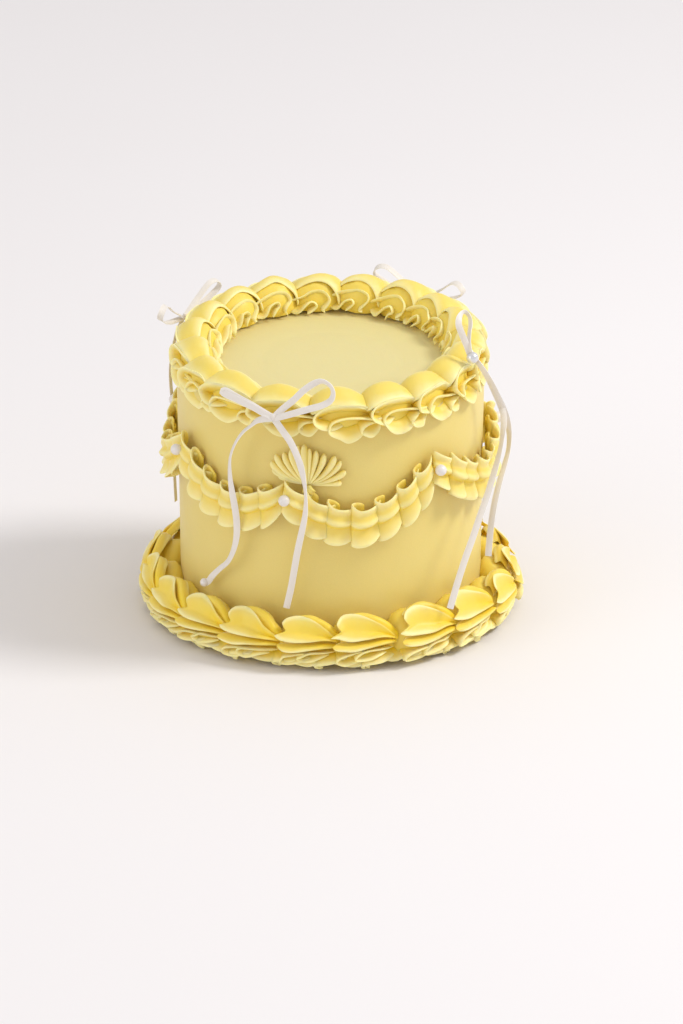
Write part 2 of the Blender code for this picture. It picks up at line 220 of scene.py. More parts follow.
def finishMesh(thing, material, sharpFrom=60):
    shell = bmesh.new()
    shell.from_mesh(thing.data)
    bmesh.ops.recalc_face_normals(shell, faces=shell.faces)
    bmesh.ops.triangulate(shell, faces=[face for face in shell.faces if len(face.verts) > 4])
    shell.to_mesh(thing.data)
    shell.free()
    dressMesh(thing.data, material, sharpFrom)


def standFor(piece, node):
    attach(piece, "root")
    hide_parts(node)


# Node graphs, for materials and for geometry

class Val:
    # a socket that sums can be written with
    def __init__(self, graph, socket):
        self.graph, self.socket = graph, socket

    def sum(self, operation, *others):
        return self.graph.node("ShaderNodeMath", {"operation": operation}, dict(enumerate([self, *others])))

    def __add__(self, other): return self.sum("ADD", other)
    def __mul__(self, other): return self.sum("MULTIPLY", other)
    def __sub__(self, other): return self.sum("SUBTRACT", other)
    def __truediv__(self, other): return self.sum("DIVIDE", other)
    def __pow__(self, other): return self.sum("POWER", other)
    def __rsub__(self, other): return (self * -1) + other
    __radd__ = __add__
    __rmul__ = __mul__

    def clamp(self, low=0.0, high=1.0):
        return self.sum("MAXIMUM", low).sum("MINIMUM", high)


class Graph:
    def __init__(self, tree):
        self.tree = tree

    def node(self, kind, settings=None, inputs=None, out=0):
        made = self.tree.nodes.new(kind)
        for key, value in (settings or {}).items():
            setattr(made, key, value)
        for key, value in (inputs or {}).items():
            if isinstance(value, Val):
                self.tree.links.new(value.socket, made.inputs[key])
            else:
                made.inputs[key].default_value = value
        return Val(self, made.outputs[out])

    def mixColour(self, factor, first, second, way="MIX"):
        first, second = [c if isinstance(c, Val) else (*c, 1) for c in (first, second)]
        return self.node("ShaderNodeMix", {"data_type": "RGBA", "blend_type": way},
                         {0: factor, 6: first, 7: second}, 2)

    def split(self, vector):
        parts = self.node("ShaderNodeSeparateXYZ", None, {0: vector}).socket.node
        return [Val(self, socket) for socket in parts.outputs]

    def join(self, x, y=0.0, z=0.0):
        return self.node("ShaderNodeCombineXYZ", None, {0: x, 1: y, 2: z})


class Finish(Graph):
    # a material with a Principled shader
    def __init__(self, name, fixed):
        self.material = bpy.data.materials.new(name)
        self.material.use_nodes = True
        super().__init__(self.material.node_tree)
        self.shader = self.tree.nodes["Principled BSDF"]
        for key, value in fixed.items():
            self.shader.inputs[key].default_value = value
        self.place = self.node("ShaderNodeTexCoord", out=3)

    def noise(self, scale, detail=3.0, rough=0.5, place=None):
        return self.node("ShaderNodeTexNoise", None, {
            "Vector": place or self.place, "Scale": scale, "Detail": detail, "Roughness": rough})

    def gloss(self, scale, spread, least):
        return self.noise(scale) * spread + least

    def feed(self, key, value):
        self.tree.links.new(value.socket, self.shader.inputs[key])

    def done(self, colour, roughness, height, bump):
        relief = {"Height": height, "Distance": bump[0], "Strength": bump[1]}
        self.feed("Base Color", colour)
        self.feed("Roughness", roughness)
        self.feed("Normal", self.node("ShaderNodeBump", None, relief))
        return self.material


# A bump is a depth and a strength; a gloss is a noise's scale, the range and least roughness

smoothLook = {
    "side": (0.80, 0.635, 0.18), "sidePale": (0.82, 0.66, 0.215), "top": (0.765, 0.665, 0.295),
    "topFade": 0.003,  # over this height the side's colour gives way to the top's
    "cloud": 38.0, "speck": 2600.0, "speckStrength": 0.10,
    # scale of the turntable's rings, of the fine grain and of the soft wave
    "rings": 315.0, "grain": 900.0, "wave": 60.0,
    "bump": (0.0008, 0.5), "gloss": (90.0, 0.14, 0.40),
}


def smoothCream():
    look = Finish("smoothButtercream", {
        "Specular IOR Level": 0.45, "Sheen Weight": 0.12, "Sheen Roughness": 0.5,
        "Subsurface Weight": 0.12, "Subsurface Radius": (1.0, 0.6, 0.15), "Subsurface Scale": 0.004})
    x, y, z = look.split(look.place)
    # the smoothed top is paler than the side, and the turntable left faint rings on it
    onTop = ((z - (cake["height"] - cake["topRound"])) / smoothLook["topFade"]).clamp()
    side = look.mixColour(look.noise(smoothLook["cloud"], 4.0), smoothLook["side"], smoothLook["sidePale"])
    speck = (look.noise(smoothLook["speck"], 1.0) - 0.5) * smoothLook["speckStrength"] + 1.0
    colour = look.mixColour(1.0, look.mixColour(onTop, side, smoothLook["top"]),
                            look.join(speck, speck, speck), "MULTIPLY")
    outwards = look.join((x * x + y * y) ** 0.5 * smoothLook["rings"])
    height = look.noise(1.0, 2.0, place=outwards) * onTop * 0.5
    height = height + look.noise(smoothLook["grain"], 3.0, 0.6) * 0.12 + look.noise(smoothLook["wave"], 2.0) * 0.9
    return look.done(colour, look.gloss(*smoothLook["gloss"]), height, smoothLook["bump"])


pipedLook = {
    # the rim colour is a painted highlight and the hollow colour is painted shade; the petal colour is the cream's
    # own
    "rim": (0.98, 0.865, 0.41), "petal": (0.865, 0.70, 0.19), "hollow": (0.95, 0.68, 0.010),
    # the painted shading value (highest on rims) from which a colour begins, and how fast it comes in
    "petalFrom": (0.1, 1.5), "rimFrom": (0.66, 2.8),
    "cloud": 140.0, "cloudShare": 0.2, "grain": 1300.0, "wave": 240.0,
    "bump": (0.0004, 0.45), "gloss": (160.0, 0.16, 0.36),
}


def pipedCream():
    look = Finish("pipedButtercream", {
        "Specular IOR Level": 0.4,
        "Subsurface Weight": 0.38, "Subsurface Radius": (1.0, 0.85, 0.4), "Subsurface Scale": 0.0009})
    # the painted shading attribute lays painted shade in the hollows and a painted highlight along the rims
    paintedShading = look.node("ShaderNodeAttribute", {"attribute_name": "paintedShading"}, out=2)
    depth = (paintedShading + (look.noise(pipedLook["cloud"]) - 0.5) * pipedLook["cloudShare"]).clamp()
    colour = pipedLook["hollow"]
    for shade in ("petal", "rim"):
        start, speed = pipedLook[shade + "From"]
        colour = look.mixColour(((depth - start) * speed).clamp(), colour, pipedLook[shade])
    height = look.noise(pipedLook["grain"], 3.0, 0.6) * 0.25 + look.noise(pipedLook["wave"], 2.0)
    return look.done(colour, look.gloss(*pipedLook["gloss"]), height, pipedLook["bump"])


satinLook = {
    "shade": (0.82, 0.76, 0.69), "light": (0.91, 0.86, 0.80), "selvedge": (0.93, 0.92, 0.92),
    "warp": 150.0, "weft": 9000.0,  # threads across the ribbon and along it
    "edge": 14.0,  # the higher, the narrower the selvedge
    "relief": (0.4, 0.3, 0.8), "bump": (0.00012, 0.5), "gloss": (0.12, 0.34),
}


def satinRibbon():
    look = Finish("satinRibbon", {"Specular IOR Level": 0.5, "Sheen Weight": 0.25, "Sheen Roughness": 0.4})
    run, over = look.split(look.node("ShaderNodeUVMap", {"uv_map": "weave"}))[:2]
    # warp threads along the ribbon and a raised selvedge at each edge
    threads = (over * satinLook["warp"]).sum("SINE") * 0.5 + 0.5
    picks = (run * satinLook["weft"]).sum("SINE") * 0.5 + 0.5
    edge = ((over - 0.5).sum("ABSOLUTE") * 2.0) ** satinLook["edge"]
    white = look.mixColour(threads * 0.5, satinLook["shade"], satinLook["light"])
    colour = look.mixColour(edge * 0.6, white, satinLook["selvedge"])
    warp, weft, selvedge = satinLook["relief"]
    spread, least = satinLook["gloss"]
    return look.done(colour, threads * spread + least,
                     threads * warp + picks * weft + edge * selvedge, satinLook["bump"])


pearlLook = {
    # deep colour, light colour and how metallic it is
    "sugarPearl": ((0.76, 0.71, 0.66), (0.84, 0.80, 0.78), 0.0),
    "silverPearl": ((0.66, 0.66, 0.67), (0.86, 0.86, 0.88), 0.6),
    "cloud": 420.0, "grain": 1500.0, "bump": (0.0001, 0.25), "gloss": (0.15, 0.22),
}


def sugarPearl(name):
    deep, light, metal = pearlLook[name]
    look = Finish(name, {
        "Metallic": metal, "Specular IOR Level": 0.5, "Coat Weight": 0.35, "Coat Roughness": 0.18,
        "Subsurface Weight": 0.15, "Subsurface Radius": (0.5, 0.4, 0.4), "Subsurface Scale": 0.002})
    cloudy = look.noise(pearlLook["cloud"], 2.0)
    spread, least = pearlLook["gloss"]
    return look.done(look.mixColour(cloudy, deep, light), cloudy * spread + least,
                     look.noise(pearlLook["grain"]), pearlLook["bump"])


smooth, piped, satin = smoothCream(), pipedCream(), satinRibbon()
pearl, silver = sugarPearl("sugarPearl"), sugarPearl("silverPearl")
print("materials made")


# The cake under its icing: turned, with the slight waves that the scraper leaves

def makeCake():
    foot, edge, full = cake["footRound"], cake["topRound"], cake["height"]
    rim = wallRadius(full)
    profile = [(radius, 0.0) for radius in (*cake["underside"], cake["radius"] - foot)]
    for turn in np.linspace(0, math.pi / 2, cake["footSteps"] + 1)[1:]:
        profile.append((cake["radius"] - foot * (1 - math.sin(turn)), foot * (1 - math.cos(turn))))
    for height in np.linspace(foot, full - edge, cake["sideRings"])[1:]:
        profile.append((wallRadius(height), height))
    for turn in np.linspace(0, math.pi / 2, cake["topSteps"] + 1)[1:]:
        profile.append((rim - edge * (1 - math.cos(turn)), full - edge * (1 - math.sin(turn))))
    for radius in np.linspace(rim - edge, cake["innermost"], cake["topRings"])[1:]:
        profile.append((radius, full))

    angle = np.arange(cake["around"]) * 360 / cake["around"]
    rings = []
    for radius, height in profile:
        wall = math.sin(math.pi * height / full) * radius / cake["radius"]
        wave = sum(size * np.sin(count * np.radians(angle) + twist * height + start)
                   for size, count, twist, start in cake["waves"])
        if height > full - 1e-6:
            dent = cake["knifeDeep"] * math.exp(-((radius - cake["knifeRing"]) / cake["knifeWide"]) ** 2)
            height -= dent + cake["topFall"] * (radius / cake["fallRadius"]) ** 2 + cake["topDrop"]
        rings.append(onCake(angle, radius - wall * (cake["hollow"] + wave), height))
    rings = np.array(rings)
    return makePiece("iced_cake", [(rings, np.ones(rings.shape[:2]))], smooth)


icedCake = makeCake()
standFor(icedCake, "cake")
print("cake made:", len(icedCake.data.polygons), "faces")


# Piped shells, in mm but for the core, its squeeze at the sides and its dip at the front.
# A fold is the line of its rim: the way along the shell (head negative, tail positive), the
# way it faces (0 outwards, 90 up) and its reach from the core. A leaf is rows of such places
# across it, from tail to head. The blob is the cream behind them. Pitch is the room that a
# shell is drawn for, and stretch how much of any more it takes up. Runs are angles at which
# so many shells begin.

piping = {
    # the random part of way (mm), facing (degrees) and reach (mm)
    "shellSpread": (0.5, 2.6, 0.25), "foldSpread": (0.4, 1.8, 0.18), "leafSpread": (0.3, 1.2, 0.15),
    "foldSteps": (44, 7), "leafSteps": (28, 15), "foldTaper": 0.08, "leafTaper": 0.05,
    "usualReach": 12.0,  # mm, at which a turn counts as a length
    "gather": 0.45, "curl": 1.4, "rootLength": 0.80,
    # how the painted shading rises from painted shade to a painted highlight towards a fold's rim and a leaf's
    # edges, and what the core has
    "foldShade": 1.25, "leafShade": 2.4, "coreShade": 0.5,
    # how much the shells of a ring differ in turn, lean and size
    "turn": 0.06, "lean": 0.07, "size": (-0.06, 0.05),
    "lowest": 0.0002,  # no cream of a ring goes below this height
}
topShell = {
    "core": (0.0715, 0.1315), "squeeze": 0.0042, "dip": 0.0020,
    "pitch": 24.0, "stretch": 0.45, "kinds": 7, "seed": 5,
    "runs": ((6.8, 1), (25.6, 7), (150.8, 4), (226.8, 5), (321.0, 2)),
    "leaves": {
        "dome": [
            [(19, 36, 2.4), (19, 60, 2.4), (19, 84, 2.4), (19, 98, 2.4), (19, 110, 2.2)],
            [(13, 38, 6.2), (13, 60, 5.6), (13, 84, 5.2), (13, 98, 5.2), (13, 108, 5)],
            [(7.5, 41, 10.6), (7.5, 62, 9.6), (7.5, 84, 9.4), (7.5, 96, 9.4), (7.5, 106, 9.2)],
            [(2, 44.6, 12.9), (2, 62, 12.4), (2, 82, 13), (2, 95, 13), (2, 104, 12.6)],
            [(-4, 44.4, 13.3), (-4, 62, 13.3), (-4, 82, 14.5), (-4, 96, 14.4), (-4, 105, 13.8)],
            [(-9, 43.6, 13.3), (-9, 62, 13.1), (-9, 84, 13.9), (-9, 100, 13.5), (-9, 115, 12.7)],
            [(-13.4, 39.6, 12.8), (-13.6, 62, 11.7), (-13.6, 88, 11.5), (-13.4, 112, 11.1), (-12.6, 138, 10.7)],
            [(-16.4, 36, 11.4), (-16.8, 62, 8.8), (-16.6, 90, 8), (-15.8, 122, 8.4), (-14, 166, 9.6)],
            [(-17.4, 34, 8), (-18, 62, 5), (-17.8, 94, 4.2), (-16.6, 126, 5), (-14.4, 176, 7.4)],
        ],
    },
    "folds": {
        "outerBig": [
            (19, 33, 2.8), (13, 36.5, 6.9), (7.5, 41, 11.2), (2, 44.6, 13.5), (-8, 43.8, 13.9),
            (-14.5, 38, 13.2), (-17.8, 24, 12.2), (-17, 7, 11.4), (-13.5, -7, 11.4), (-8, -12, 10.8), (-3, -9, 8)],
        "outerMiddle": [
            (20, 4, 4), (13, 9, 9.2), (5, 15, 10.8), (-3, 19, 11.4), (-8.2, 12, 11.4), (-10.2, -6, 11.4),
            (-8.8, -22, 12.4), (-5, -32, 13.6), (0, -38, 14), (4.6, -35, 13), (8, -25, 10)],
        "outerSmall": [
            (19, -7, 5), (12, -3, 9.4), (8, -8, 11), (6.2, -20, 11.8), (8, -32, 12.6), (11.5, -36, 12.2),
            (14.6, -28, 9.6), (16, -20, 7)],
        "innerMiddle": [
            (16, 160, 5), (11, 148, 9), (6, 137, 11), (0.5, 130, 12), (-4.5, 130, 12.2), (-8, 140, 12),
            (-8.6, 157, 11.8), (-6.4, 171, 11.8), (-4.6, 180, 12), (-6, 187, 12)],
        "innerSmall": [
            (13, 182, 7), (9.5, 187, 10.6), (6.6, 180, 11.8), (4, 166, 12), (1.6, 156, 12), (-0.8, 156, 12),
            (-1.6, 166, 12), (0.2, 178, 12), (2.4, 188, 12)],
    },
    "pivots": {"outerBig": 30, "outerMiddle": 6, "outerSmall": 0, "innerMiddle": 140, "innerSmall": 158},
    "rootHalf": 1.0, "rimHalf": 0.5, "root": 2.5,
    # fade is painted shade along a leaf towards its tail; valley is the painted shading in a leaf's middle
    "fade": ((0, 0.6), (0.35, 1.0), (1, 1.0)), "valley": 0.62,
    "stations": [(19, 1.4), (12, 3.4), (5, 7.6), (-2, 9.4), (-8, 9.2), (-13, 7.2), (-15.8, 2.4)],
    "blob": [
        (-60, 0.9), (-35, 0.9), (-10, 0.85), (15, 0.85), (40, 1.05), (62, 1.22), (84, 1.38), (100, 1.42),
        (116, 1.34), (136, 1.2), (158, 1.1), (180, 1.05), (197, 1), (230, 0.4), (270, 0.4)],
}
baseShell = {
    "core": (0.0838, 0.0095), "squeeze": 0.0, "dip": 0.0,
    "pitch": 25.5, "stretch": 0.8, "kinds": 7, "seed": 11,
    "runs": ((8.4, 3), (69.3, 12), (297.0, 4)),
    "leaves": {
        "spoon": [
            [(19, 45, 9), (19, 44, 8.6), (19, 42, 8.2), (19, 41, 8.6), (19, 40, 9)],
            [(12, 57, 15.3), (12, 53, 13.6), (12, 47, 11.8), (12, 41, 12.6), (12, 36, 13.4)],
            [(5, 71, 17.8), (6, 63, 15.6), (6, 51, 12.8), (5, 41, 13.2), (4, 32, 14)],
            [(-1, 77, 18.8), (-1, 67, 16.4), (-1, 53, 13.4), (-3, 42, 13.6), (-4, 30, 14.4)],
            [(-6, 73, 18.6), (-6, 65, 16.8), (-5, 53, 14.2), (-8, 43, 14), (-9, 35, 14.6)],
            [(-9, 63, 17.6), (-8.5, 58, 16.6), (-7.2, 51, 15), (-10.5, 45, 14.6), (-12.4, 41, 14.4)],
        ],
        "back": [
            [(20, 38, 5.6), (20, 46, 7), (20, 54, 8.4), (20, 64, 8)],
            [(15, 46, 9.6), (15, 56, 11.6), (15, 67, 13.6), (15, 78, 12.6)],
            [(9.6, 54, 11.4), (9.6, 65, 14.2), (9.6, 76, 16.8), (9.6, 87, 15.4)],
            [(4, 58, 12), (4, 69, 15.2), (4, 80, 18.6), (4, 91, 16.6)],
            [(-2, 58, 12), (-2, 69, 15), (-2, 79, 17.8), (-2, 90, 15.8)],
            [(-6, 56, 11.4), (-6, 66, 13.2), (-6, 76, 14.8), (-6, 86, 13.8)],
        ],
        "lip": [
            [(19, 34, 7.4), (19, 31, 8.2), (19, 28, 9), (19, 27, 9.4)],
            [(12, 34, 9.4), (12, 29, 11), (12, 24, 12.2), (12, 21, 12.6)],
            [(4, 33, 10), (4, 26, 11.2), (4, 18, 13), (4, 14, 13.6)],
            [(-3, 32, 10.4), (-3, 25, 11.6), (-3, 16, 13.4), (-3, 11, 14)],
            [(-8.4, 30, 11), (-9, 24, 12.2), (-8.8, 17, 13.6), (-8.4, 12, 14)],
            [(-11.2, 26, 12), (-12.2, 22, 12.8), (-12, 18, 13.4), (-11.4, 15, 13.4)],
        ],
    },
    "folds": {
        "curl": [
            (17, 6, 6), (11, 7, 10.8), (5, 6, 12.6), (0.6, 0, 13.2), (-1.2, -11, 13), (1.4, -19, 12.6),
            (5.6, -17, 12.2), (10, -11, 10.8), (14, -6, 8)],
        "under": [
            (9, 0, 6), (3, 2, 11.4), (-4, 1, 13.2), (-9, -7, 13.4), (-10.2, -19, 13), (-6.6, -26, 12.6),
            (-1, -22, 12.2), (4, -16, 10.6), (9, -12, 7)],
    },
    "pivots": {"curl": 0, "under": -6},
    "rootHalf": 1.1, "rimHalf": 0.5, "root": 3.0,
    # fade is painted shade along a leaf towards its tail; valley is the painted shading in a leaf's middle
    "fade": ((0, 0.35), (0.3, 0.62), (0.6, 1.0), (1, 1.08)), "valley": 0.40,
    "stations": [(19, 3), (12, 6.4), (5, 9.4), (-2, 10.4), (-7, 9.4), (-10, 6.5), (-11.5, 2)],
    "blob": [
        (-55, 0.85), (-30, 0.9), (-5, 0.95), (20, 1), (45, 1.08), (70, 1.24), (92, 1.38), (112, 1.5),
        (132, 1.34), (156, 0.95), (180, 0.7), (230, 0.7), (270, 0.8)],
}
# the lowest ruffle of the foot runs on from shell to shell, with a loop at each drip
frillLoop = {
    "core": (0.0838, 0.0095), "squeeze": 0.0, "dip": 0.0,
    "pitch": 20.5, "stretch": 1.0, "kinds": 4, "seed": 23, "runs": ((10.9, 26),),
    "leaves": {}, "stations": (), "pivots": {"band": 0}, "rootHalf": 0.9, "rimHalf": 0.5, "root": 4.0,
    "folds": {
        "band": [
            (14, -19, 7), (9, -20, 11), (3.5, -22, 12), (-0.6, -24, 12.2), (-2.8, -31, 12),
            (-1.5, -41, 11.8), (-0.1, -47, 11.7), (0.7, -41, 11.7), (0.5, -33, 11.7), (-2.2, -31, 11.6),
            (-7, -34, 11.2), (-13, -31, 10.4), (-20, -26, 8)],
    },
}


def turnedRows(rows):
    # way, facing and reach to a place in the shell's own frame
    way, facing, reach = rows[..., 0], np.radians(rows[..., 1]), rows[..., 2]
    return np.stack([way, -reach * np.cos(facing), reach * np.sin(facing)], axis=-1)


def jitter(draw, spread):
    return np.array([draw.gauss(0, size) for size in spread])


def foldSheet(spec, name, lean, draw):
    line = np.array(spec["folds"][name], float) + lean
    line = line + np.array([jitter(draw, piping["foldSpread"]) for _ in line])
    even = np.array([1, math.radians(1) * piping["usualReach"], 1])
    along, across = piping["foldSteps"]
    way, facing, reach = (smoothRows(line * even, along) / even).T[..., None]
    share = np.linspace(0, 1, across)[None, :]
    # the sheet's root is shorter than its rim and gathered towards the pivot
    rootFacing = facing + (spec["pivots"][name] - facing) * piping["gather"]
    turn = rootFacing + (facing - rootFacing) * share ** piping["curl"]
    length = spec["root"] + (reach - spec["root"]) * share
    run = way * (piping["rootLength"] + (1 - piping["rootLength"]) * share)
    # painted shading rises from painted shade at the root to a painted highlight at the rim
    rings, near = thickSheet(turnedRows(np.stack([run, turn, length], axis=-1)), spec["rootHalf"],
                             spec["rimHalf"], piping["foldTaper"], share[0] ** piping["foldShade"])
    return rings / 1000, near


def leafSheet(spec, name, lean, draw):
    leaf = np.array(spec["leaves"][name], float) + lean
    shift = np.array([jitter(draw, piping["leafSpread"]) for _ in leaf])
    along, across = piping["leafSteps"]
    grid = smoothGrid(turnedRows(leaf + shift[:, None, :]), along, across)
    # a painted highlight along the leaf's edges, painted shade (the valley value) in its middle
    edge = np.abs(np.linspace(-1, 1, across)) ** piping["leafShade"]
    rings, near = thickSheet(grid, spec["rimHalf"], spec["rimHalf"], piping["leafTaper"],
                             spec["valley"] + (1 - spec["valley"]) * edge)
    # painted shade, deeper in colour towards the tail, where the next shell begins
    deep = np.interp(np.linspace(0, 1, along), *zip(*spec["fade"]))
    return rings / 1000, near * deep[:, None]


def coreBlob(spec):
    facing, share = np.array(spec["blob"], float).T
    rings = np.array([turnedRows(np.stack([np.full_like(facing, way), facing, reach * share], axis=-1))
                      for way, reach in spec["stations"]]) / 1000
    # the core gets a middling painted shading value, partly painted shade
    return rings, np.full(rings.shape[:2], piping["coreShade"])


def shellParts(spec, draw):
    lean = jitter(draw, piping["shellSpread"])
    parts = [leafSheet(spec, name, lean, draw) for name in spec["leaves"]]
    parts += [foldSheet(spec, name, lean, draw) for name in spec["folds"]]
    return parts + ([coreBlob(spec)] if spec["stations"] else [])


def spreadShells(runs):
    # each run sets its shells evenly from its own angle up to the next run's
    angles = []
    for index, (start, count) in enumerate(runs):
        end = runs[index + 1][0] if index + 1 < len(runs) else runs[0][0] + 360
        angles += [start + (end - start) * step / count for step in range(count)]
    return angles


def shellSeeds(name, spec, draw):
    # one point for each shell, with what the ring's nodes need of it
    angles = spreadShells(spec["runs"])
    radius, height = spec["core"]
    points, values = [], {"turn": [], "stride": [], "size": [], "lean": [], "kind": []}
    for index, angle in enumerate(angles):
        turn = math.radians(angle)
        out = radius - spec["squeeze"] * math.sin(turn) ** 2
        points.append((out * math.sin(turn), -out * math.cos(turn), height - spec["dip"] * math.cos(turn)))
        gap = (angles[(index + 1) % len(angles)] - angles[index - 1]) % 360 / 2
        room = math.radians(gap) * radius * 1000
        values["turn"].append(turn + draw.uniform(-piping["turn"], piping["turn"]))
        values["stride"].append(1 + (room / spec["pitch"] - 1) * spec["stretch"])
        values["size"].append(1 + draw.uniform(*piping["size"]))
        values["lean"].append(draw.uniform(-piping["lean"], piping["lean"]))
        values["kind"].append(index * 3 % spec["kinds"])  # no kind stands beside itself
    mesh = bpy.data.meshes.new(name + "Seeds")
    mesh.from_pydata(points, [], [])
    for key, numbers in values.items():
        layer = mesh.attributes.new(key, "INT" if key == "kind" else "FLOAT", "POINT")
        layer.data.foreach_set("value", numbers)
    return mesh


def ringTree(name):
    # Geometry Nodes: a kind of shell on each point, sized, turned, and settled with the cake
    tree = bpy.data.node_groups.new(name + "Ring", "GeometryNodeTree")
    face = tree.interface
    face.new_socket("Geometry", in_out="OUTPUT", socket_type="NodeSocketGeometry")
    sockets = {key: face.new_socket(key, in_out="INPUT", socket_type="NodeSocket" + kind) for key, kind in (
        ("Seeds", "Geometry"), ("Kinds", "Collection"), ("Settle", "Float"), ("Finish", "Material"))}
    g = Graph(tree)
    entry = tree.nodes.new("NodeGroupInput")
    given = {key: Val(g, entry.outputs[key]) for key in sockets}

    def told(key, kind="FLOAT"):
        return g.node("GeometryNodeInputNamedAttribute", {"data_type": kind}, {"Name": key})

    kinds = g.node("GeometryNodeCollectionInfo", None, {
        "Collection": given["Kinds"], "Separate Children": True, "Reset Children": True})
    size = told("size")
    shells = g.node("GeometryNodeInstanceOnPoints", None, {
        "Points": given["Seeds"], "Instance": kinds, "Pick Instance": True, "Instance Index": told("kind", "INT"),
        "Rotation": g.join(told("lean"), 0.0, told("turn")), "Scale": g.join(told("stride"), size, size)})
    real = g.node("GeometryNodeRealizeInstances", None, {0: shells})
    x, y, z = g.split(g.node("GeometryNodeInputPosition"))
    settled = g.join(x, y, (z * (y * given["Settle"] + 1.0)).sum("MAXIMUM", piping["lowest"]))
    sunk = g.node("GeometryNodeSetPosition", None, {"Geometry": real, "Position": settled})
    done = g.node("GeometryNodeSetMaterial", None, {"Geometry": sunk, "Material": given["Finish"]})
    tree.links.new(done.socket, tree.nodes.new("NodeGroupOutput").inputs[0])
    return tree, sockets


def shellRing(name, spec):
    draw = random.Random(spec["seed"])
    group = bpy.data.collections.new(name + "Kinds")
    for index in range(spec["kinds"]):
        kind = makePiece(f"{name}Kind{index}", shellParts(spec, draw), piped)
        bpy.context.scene.collection.objects.unlink(kind)
        group.objects.link(kind)
    ring = addObject(name, shellSeeds(name, spec, draw))
    tree, sockets = ringTree(name)
    change = ring.modifiers.new("ring", "NODES")
    change.node_group = tree
    for key, value in (("Kinds", group), ("Settle", cake["settle"] / cake["radius"]), ("Finish", piped)):
        change[sockets[key].identifier] = value
    plain = bpy.data.meshes.new_from_object(ring.evaluated_get(bpy.context.evaluated_depsgraph_get()))
    ring.modifiers.remove(change)
    ring.data = plain
    for kind in list(group.objects):
        bpy.data.objects.remove(kind)
    bpy.data.collections.remove(group)
    dressMesh(plain, piped)
    return ring


def joinMeshes(first, second):
    # the second object's mesh goes into the first's
    shell = bmesh.new()
    shell.from_mesh(first.data)
    shell.from_mesh(second.data)
    shell.to_mesh(first.data)
    shell.free()
    bpy.data.objects.remove(second)


topBorder = shellRing("topBorder", topShell)
standFor(topBorder, "top_border")
baseBorder = shellRing("baseBorder", baseShell)
joinMeshes(baseBorder, shellRing("frill", frillLoop))
standFor(baseBorder, "base_border")
print("borders piped:", len(topBorder.data.polygons), len(baseBorder.data.polygons), "faces")


# Swags: one ruffled sheet each, folded back over itself at every pleat

swag = {
    "width": 0.0168, "above": 0.53, "pleat": 0.0128, "gap": 0.0006, "off": 0.0006, "seed": 31,
    "rows": 22, "steps": 22, "samples": 400,
    "sag": (0.0150, 0.0190, 0.0155, 0.0160, 0.0165, 0.0155, 0.0150),
    # along a pleat that is as long as drawn, all in mm: the way, the height off the wall, how
    # low the foot hangs, how high the rim rises; hang is weighed when the steps are spaced
    "drawn": 13.4, "weigh": 2.0,
    "fold": (
        (4.6, 1.6, 0.2, 0.4), (2.4, 2.1, 0.6, 0.9), (-0.6, 2.3, 0.9, 1), (-2.3, 3.6, 1, 1),
        (-1.7, 5.4, 1, 0.7), (1.2, 6.9, 0.95, 0.1), (4.8, 7.2, 0.7, 0), (8.4, 6.2, 0.3, 0),
        (11.4, 4.4, -0.2, 0), (14, 2.5, -0.6, 0.2), (15.8, 1, -0.9, 0.4)),
    "swell": (-0.12, 0.08), "wander": 0.6,
    # across the sheet from top to bottom: the share of the width and of the height off the wall
    "across": (
        (0, 1), (0.05, 0.96), (0.2, 0.82), (0.32, 0.92), (0.42, 1.16), (0.48, 1.10), (0.53, 0.80),
        (0.58, 0.68), (0.72, 0.80), (0.9, 1), (1, 1.14)),
    # painted shading across the sheet: painted highlights on the rim, the ridge and the foot, painted shade in the
    # groove under the ridge
    "shade": (
        (0, 1), (0.07, 0.84), (0.3, 0.60), (0.42, 0.92), (0.49, 0.62), (0.55, 0.34), (0.62, 0.58),
        (0.88, 0.78), (1, 1)),
    # painted shade: deeper in colour where it is near the wall, in mm, and goes under the next pleat
    "tuck": ((1.0, 0.35), (2.6, 0.75), (5.0, 1.0)),
    "scallop": 0.0022, "rise": 0.0026, "half": 0.00050, "taper": 0.03,
    # how fast the foot's scallop and the rim's rise fade across the sheet
    "scallopPower": 1.5, "risePower": 3,
    # how far the sheet leans with the slope, and how that fades near its ends
    "tilt": 0.25, "level": (0.04, 0.4), "slopeStep": 0.01,
    # from an end, in mm: the share of the rise and of the width
    "endRise": ((0, 0), (3, 0.2), (9, 1)), "endWidth": ((0, 0.82), (14, 1)),
}


def middleOf(node):
    low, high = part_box(node)
    return (np.array(low) + np.array(high)) / 2


def jointAt(index):
    # where a swag starts: its pearl's angle and height, before the cake settled
    x, y, z = middleOf(f"pearl_{index + 1}")
    return math.degrees(math.atan2(x, -y)), z / (1 + cake["settle"] * y / cake["radius"])


def swagLine(start, end, sag, share):
    way = np.radians(start[0] + (end[0] - start[0]) * share) * cake["radius"]
    return np.stack([way, start[1] + (end[1] - start[1]) * share - sag * 4 * share * (1 - share)], axis=-1)


